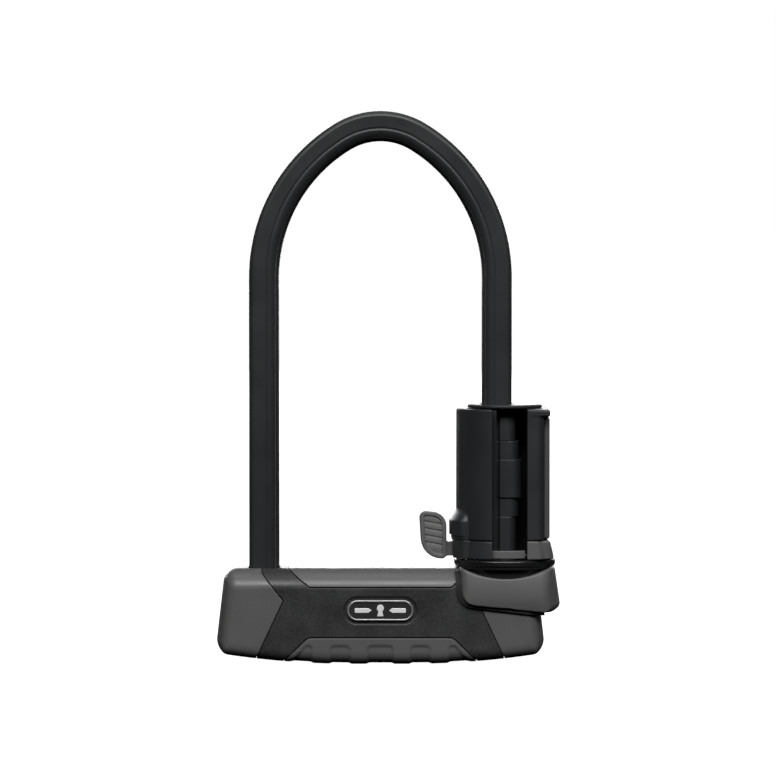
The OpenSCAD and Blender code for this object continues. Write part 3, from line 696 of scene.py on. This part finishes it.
# Heights at which the column steps, and its right and front faces between them
SLEEVE_LEVELS = (78.5, 88.6, 108.9, 118.8)
SLEEVE_RIGHTS = (5.9, 7.4, 9.0, 7.4, 5.6)
SLEEVE_FRONTS = (12.1, 11.6, 12.5, 11.6, 12.1)


def leg_room(x, y, r):
    half = LEG_W / 2 + SLEEVE_GAP
    return rect(x - LEG_X, y, half, half, r)


def leg_sleeve(x, y, z):
    """Stepped column of the adapter, wrapped round the coated leg."""
    lx = x - AXIS_X
    low, high = RING_LO[2] + 0.2, DISC_LO[2] - 0.2
    edges = (low, *SLEEVE_LEVELS, high)
    d = 99.0
    for z0, z1, right, front in zip(edges, edges[1:], SLEEVE_RIGHTS, SLEEVE_FRONTS):
        corner = rmax(lx - right, -y - front, 5.2)
        column = rmax(rmax(corner, -3.1 - lx, 0.5), y, 0.3)
        plan = np.minimum(column, rect(lx - (right - 14) / 2, y, (right + 14) / 2, SLEEVE_BACK, 3))
        d = np.minimum(d, rmax(plan, slab(z, z0, z1), 0.35))
    return np.maximum(d, -leg_room(x, y, 0.5))


def sleeve_front(x, y, z):
    return rmax(leg_sleeve(x, y, z), y + 0.05, 0.2)


def sleeve_back(x, y, z):
    return rmax(leg_sleeve(x, y, z), 0.05 - y, 0.2)


def top_disc(x, y, z):
    lx = x - AXIS_X
    d = rmax(np.hypot(lx, y) - DISC_R, slab(z, DISC_LO[2], DISC_HI[2]), 0.7)
    return rmax(d, -leg_room(x, y, 1), 0.3)


# ---- Bracket half that stays on the bicycle frame ----
def polar(x, y):
    """Place about the holder's axis: offset to the right, radius and angle in degrees."""
    lx = x - AXIS_X
    return lx, np.hypot(lx, y), np.degrees(np.arctan2(y, lx))


def off_angle(angle, middle):
    """How far an angle lies from a middle one, either way, in degrees."""
    return np.abs((angle - middle) % 360 - 360 * (((angle - middle) % 360) > 180))


def holder_plan(lx, rho, y, grow):
    """Plan of the holder: round at the left and square at the right."""
    side = np.abs(y) - FLAT_Y - grow - 5 * (1 - smooth(lx, 2, 10))
    rounded_part = rmax(rmax(rho - HOLDER_R - grow, side, 1), lx - FLAT_X - grow, 4.2)
    square_part = rect(lx - FLAT_X / 2 - grow / 2, y, FLAT_X / 2 + grow / 2, FLAT_Y + grow, 4.2)
    square_part = np.maximum(square_part, 2 - lx)
    return rmin(rounded_part, square_part, 1.5)


def lever_bump(rho, angle, z):
    """Swelling of the wall beside the lever, stepped and sloped at its top."""
    reach = np.where(z < 68.8, 28.4 + 0.3 * (z - 56.4) / 12.4, 29.7)
    reach = np.where(z > 76.3, 29.7 - (z - 76.3) * 0.7, reach)
    turn = (off_angle(angle, 179) - 42) * math.radians(1) * 27
    return rmax(rmax(rho - reach, turn, 4.5), 24 - rho, 0.3)


def holder_inside(lx, rho, z, top):
    cavity = np.maximum(np.maximum(rho - HOLDER_INNER_R, lx - FLAT_INNER_X), z - top)
    return np.minimum(cavity, rho - BORE_R)


def slot_cut(lx, y):
    return np.maximum(slab(lx, SLOT_X0, SLOT_X1), y)


def holder_shell(x, y, z):
    lx, rho, angle = polar(x, y)
    low = FOOT_HI[2] + 0.2
    d = rmax(holder_plan(lx, rho, y, 0), slab(z, low, SHELL_TOP), 0.8)
    bump = rmax(lever_bump(rho, angle, z), slab(z, low, 83), 0.2)
    d = rmin(d, bump, 0.9)
    lip = block(lx, y, z, (4, -FLAT_Y, SHELL_TOP - 3.7), (23.6, FLAT_Y, SHELL_TOP), 1.0)
    d = rmin(d, lip, 0.6)
    for z0 in (69.5, 122.3):
        slit = np.maximum(np.maximum(slab(lx, 19.6, 22), np.abs(y) - 17), slab(z, z0, z0 + 6))
        d = rmax(d, -slit, 0.3)
    d = rmax(d, -slot_cut(lx, y), 0.8)
    return rmax(d, -holder_inside(lx, rho, z, SHELL_TOP - 1.5), 0.4)


def foot_shape(x, y, z):
    """Foot of the holder: collar and bracket in one, with room for the lever's stem."""
    lx, rho, angle = polar(x, y)
    low, high = FOOT_LO[2], FOOT_HI[2]
    tongue = np.maximum(rect(lx - 13.1, y, 13.1, 20, 5), 5 - lx)
    plan = rmin(holder_plan(lx, rho, y, 0.4 - 0.1 * (z - low)), tongue, 1.0)
    slant = (lx - 26.2) * 0.966 + (z - low) * 0.258
    d = rmax(rmax(plan, slant, 1.2), slab(z, low, high), 0.8)
    bump = rmax(lever_bump(rho, angle, z), slab(z, low, high), 0.2)
    d = rmin(d, bump, 0.6)
    d = rmax(d, -slot_cut(lx, y), 0.7)
    d = rmax(d, -holder_inside(lx, rho, z, 200), 0.4)
    sweep = (off_angle(angle, 160.5) - 30.5) * math.radians(1) * 26
    stem = np.maximum(np.maximum(sweep, 18 - rho), z - 65.7)
    return rmax(d, -stem, 0.3)


def foot_collar(x, y, z):
    return rmax(foot_shape(x, y, z), x - AXIS_X - FOOT_SPLIT + 0.15, 0.4)


def foot_bracket(x, y, z):
    return rmax(foot_shape(x, y, z), FOOT_SPLIT + 0.15 - x + AXIS_X, 0.4)


def bumper_strip(x, y, z):
    lx = x - AXIS_X
    d = rmax(rmax(lx - 23.6, np.abs(y) - 15, 1.6), slab(z, PAD_LO[2], PAD_HI[2]), 1.3)
    return np.maximum(d, 20.65 - lx)


PADDLE = [(-31.2, 55.6, 2.6), (-44.3, 55.2, 11), (-45.9, 81.4, 3.2), (-31.2, 79.9, 7.5)]
RIB_PITCH = 3.6
RIB_SLOPE = 10.5
RIM_WIDTH = 2.3
PADDLE_FACE = 2.3


def paddle(u, v, z):
    """Thumb paddle: a rim, and sloping louvres in the panel inside it."""
    edge = polygon(u, z, outline(PADDLE))
    plate = rmax(edge, slab(v, -PADDLE_FACE, 2.0), 0.9)
    a = math.radians(RIB_SLOPE)
    level = (z - 75.2) * math.cos(a) + (u + 38) * math.sin(a)
    wave = level / RIB_PITCH
    part = wave - np.floor(wave)
    # Each louvre leans back upwards and drops into a narrow groove at its top
    depth = 0.35 + 0.65 * np.clip(part, 0, 1) ** 2
    depth = depth - (depth - 0.35) * smooth(part, 0.86, 1.0)
    depth = np.where(wave > 1, 0.6, depth)
    depth = np.where(wave < -4, 0.5, depth)
    cut = rmax(edge + RIM_WIDTH, (v + PADDLE_FACE - depth) * 0.9, 0.3)
    back = rmax(edge + RIM_WIDTH, 1.2 - v, 0.4)
    return rmax(rmax(plate, -cut, 0.35), -back, 0.4)


def release_lever(x, y, z):
    """Lever: a curved gate across the slot, a post for the spring, a stem and the thumb paddle."""
    lx, rho, angle = polar(x, y)
    turn = angle % 360
    mid = (STEM_ANGLE - 7 + GATE_END) / 2
    span = (GATE_END - STEM_ANGLE + 7) / 2
    sector = (np.abs(turn - mid) - span) * math.radians(1) * 21
    gate = rmax(rmax(rho - GATE_R_OUT, GATE_R_IN - rho, 0.4), slab(z, 56.8, 61), 0.5)
    d = rmax(gate, sector, 0.5)
    a = math.radians(STEM_ANGLE - 180)
    u = lx * math.cos(a) + y * math.sin(a)
    v = -lx * math.sin(a) + y * math.cos(a)
    post = block(u, v, z, (-22.2, -2.1, 57.8), (-19.3, 2.1, 65), 0.5)
    stem = block(u, v, z, (-33, -1.6, 57.1), (-20.5, 1.6, 64.8), 0.5)
    d = rmin(rmin(d, post, 0.5), stem, 0.5)
    return rmin(d, paddle(u, v, z), 0.8)


def build_bracket():
    a = AXIS_X
    grey_look, black_look = LOOK["bracket_grey"], LOOK["bracket_black"]
    mould("adapter_cup", adapter_cup, (a - 25.5, -26, 26), (a + 30, 26, 54), 0.5, "lock_body",
          "bracket_grey", grey_look, "adapter_cup")
    mould("index_ring", index_ring, (a - 27, -27, RING_LO[2]), (a + 27, 27, RING_HI[2]), 0.45,
          "lock_body", "bracket_black", RING_SHADED_LOOK, "index_ring")
    mould("top_disc", top_disc, (a - 20, -20, DISC_LO[2]), (a + 20, 20, DISC_HI[2]), 0.4,
          "lock_body", "bracket_black", black_look, "top_disc")
    z0, z1 = RING_LO[2], DISC_LO[2]
    mould("leg_sleeve_front", sleeve_front, (a - 14, -12.6, z0), (a + 9.1, 0, z1), 0.4, "lock_body",
          "bracket_black", black_look, "leg_sleeve_front")
    mould("leg_sleeve_back", sleeve_back, (a - 14, 0, z0), (a + 9.1, 9.5, z1), 0.5, "lock_body",
          "bracket_black", black_look, "leg_sleeve_back")
    mould("holder_shell", holder_shell, (a - 30, -26, FOOT_HI[2]), (a + 24, 26, SHELL_TOP), 0.6,
          "holder", "bracket_black", black_look, "holder_shell")
    mould("foot_collar", foot_collar, (a - 29, -27, FOOT_LO[2]), (a + 8.5, 27, FOOT_HI[2]), 0.5,
          "holder", "bracket_black", FOOT_LIT_LOOK, "foot_collar")
    mould("foot_bracket", foot_bracket, (a + 7.5, -27, FOOT_LO[2]), (a + 27, 27, FOOT_HI[2]), 0.45,
          "holder", "bracket_grey", FOOT_SHADED_LOOK, "foot_bracket")
    mould("bumper_strip", bumper_strip, (a + 20, -15, PAD_LO[2]), (a + 24, 15, PAD_HI[2]), 0.45,
          "holder", "bumper_rubber", LOOK["bumper_rubber"], "bumper_strip")
    mould("release_lever", release_lever, (a - 46.5, -24, 55), (a + 10, 6, 81.5), 0.4,
          "lever", "bracket_grey", LEVER_SHADED_LOOK, "release_lever")


# ---- CAD nodes that stay ----
NODE_BEVEL = 0.25


def dress_nodes(replaced):
    """Finish and soften the edges of the CAD nodes that show as they are."""
    for name, obj in frame["nodes"].items():
        if name in replaced:
            continue
        obj.data.materials.clear()
        obj.data.materials.append(NODE_LOOK.get(name, LOOK[SLOT_OF[name]]))
        if name == "lever_spring":
            continue
        bevel = obj.modifiers.new("edges", "BEVEL")
        bevel.width = NODE_BEVEL * MM
        bevel.segments = 2
        bevel.limit_method = "ANGLE"
        bevel.angle_limit = math.radians(40)
        bevel.harden_normals = True


# ---- Studio ----
FLOOR_GLOW = 1.0
SKY_LOW = 0.02
SKY_HIGH = 0.5
FRONT_POWER = 92
TOP_POWER = 6
BACK_POWER = 42
SIDE_POWER = 1
LENS = 200
SENSOR = 36
FRAME_WIDTH = 0.4144     # metres across the picture at the object
CAMERA_LIFT = 2.3
CAMERA_TARGET = (0.00406, 0, 0.1466)
LIGHT_TARGET = (0.004, 0, 0.15)


def aim(obj, target):
    obj.rotation_euler = (Vector(target) - obj.location).to_track_quat("-Z", "Y").to_euler()


def area_light(name, place, target, size, power):
    data = bpy.data.lights.new(name, "AREA")
    data.shape = "RECTANGLE"
    data.size, data.size_y = size
    data.energy = power
    obj = bpy.data.objects.new(name, data)
    obj.location = place
    bpy.context.scene.collection.objects.link(obj)
    aim(obj, target)
    return obj


def build_stage():
    """Pale floor that rises gently far away, soft studio lights round the object, and the camera."""
    scene = bpy.context.scene
    material, nodes, links, shader = new_material("studio_floor")
    shader.inputs["Base Color"].default_value = (0.3, 0.3, 0.3, 1)
    shader.inputs["Roughness"].default_value = 0.9
    shader.inputs["Specular IOR Level"].default_value = 0.0
    shader.inputs["Emission Color"].default_value = (1, 1, 1, 1)
    shader.inputs["Emission Strength"].default_value = FLOOR_GLOW
    rings = [(0.0, 0.0), (1.2, 0.0), (1.6, 0.012), (2.2, 0.05), (20.0, 1.6)]
    count = 96
    points = [(r * math.cos(2 * math.pi * k / count), r * math.sin(2 * math.pi * k / count), z)
              for r, z in rings for k in range(count)]
    faces = []
    for i in range(len(rings) - 1):
        near, far = i * count, (i + 1) * count
        for k in range(count):
            m = (k + 1) % count
            faces.append((near + k, far + k, far + m, near + m))
    mesh = bpy.data.meshes.new("studio_floor")
    mesh.from_pydata(points, [], faces)
    mesh.validate()
    mesh.shade_smooth()
    mesh.materials.append(material)
    floor = bpy.data.objects.new("studio_floor", mesh)
    scene.collection.objects.link(floor)
    floor.visible_diffuse = False
    floor.visible_glossy = False

    # The sky is dim at the sides and below, and bright above
    world = bpy.data.worlds.new("studio")
    world.use_nodes = True
    nodes, links = world.node_tree.nodes, world.node_tree.links
    height = nodes.new("ShaderNodeSeparateXYZ")
    links.new(nodes.new("ShaderNodeTexCoord").outputs["Generated"], height.inputs[0])
    ramp = nodes.new("ShaderNodeMapRange")
    ramp.inputs["From Min"].default_value = -0.4
    ramp.inputs["From Max"].default_value = 0.9
    ramp.inputs["To Min"].default_value = SKY_LOW
    ramp.inputs["To Max"].default_value = SKY_HIGH
    links.new(height.outputs["Z"], ramp.inputs["Value"])
    links.new(ramp.outputs["Result"], nodes["Background"].inputs["Strength"])
    scene.world = world
    area_light("front_top", (0.1, -1.85, 1.75), LIGHT_TARGET, (3.2, 0.8), FRONT_POWER)
    area_light("overhead", (0.0, 0.15, 1.6), LIGHT_TARGET, (1.4, 0.9), TOP_POWER)
    area_light("back", (0.0, 2.35, 0.5), LIGHT_TARGET, (2.4, 0.7), BACK_POWER)
    for side in (-1, 1):
        area_light("side", (side * 2.1, 1.1, 0.4), LIGHT_TARGET, (0.8, 0.6), SIDE_POWER)

    data = bpy.data.cameras.new("camera")
    data.lens = LENS
    data.sensor_width = SENSOR
    data.clip_end = 50
    camera = bpy.data.objects.new("camera", data)
    distance = LENS / SENSOR * FRAME_WIDTH
    lift = math.radians(CAMERA_LIFT)
    target = Vector(CAMERA_TARGET)
    camera.location = target + distance * Vector((0, -math.cos(lift), math.sin(lift)))
    scene.collection.objects.link(camera)
    aim(camera, target)
    scene.camera = camera
    scene.view_settings.view_transform = "Standard"


build_body()
build_shackle()
build_bracket()
REPLACED = {
    "end_cap_right", "end_cap_left", "top_panel", "casing_front", "casing_back", "bottom_grip",
    "badge_bezel", "badge_plate", "shackle_coat", "adapter_cup", "index_ring", "top_disc",
    "leg_sleeve_front", "leg_sleeve_back", "holder_shell", "foot_collar", "foot_bracket", "bumper_strip",
    "release_lever",
}
dress_nodes(REPLACED)
build_stage()
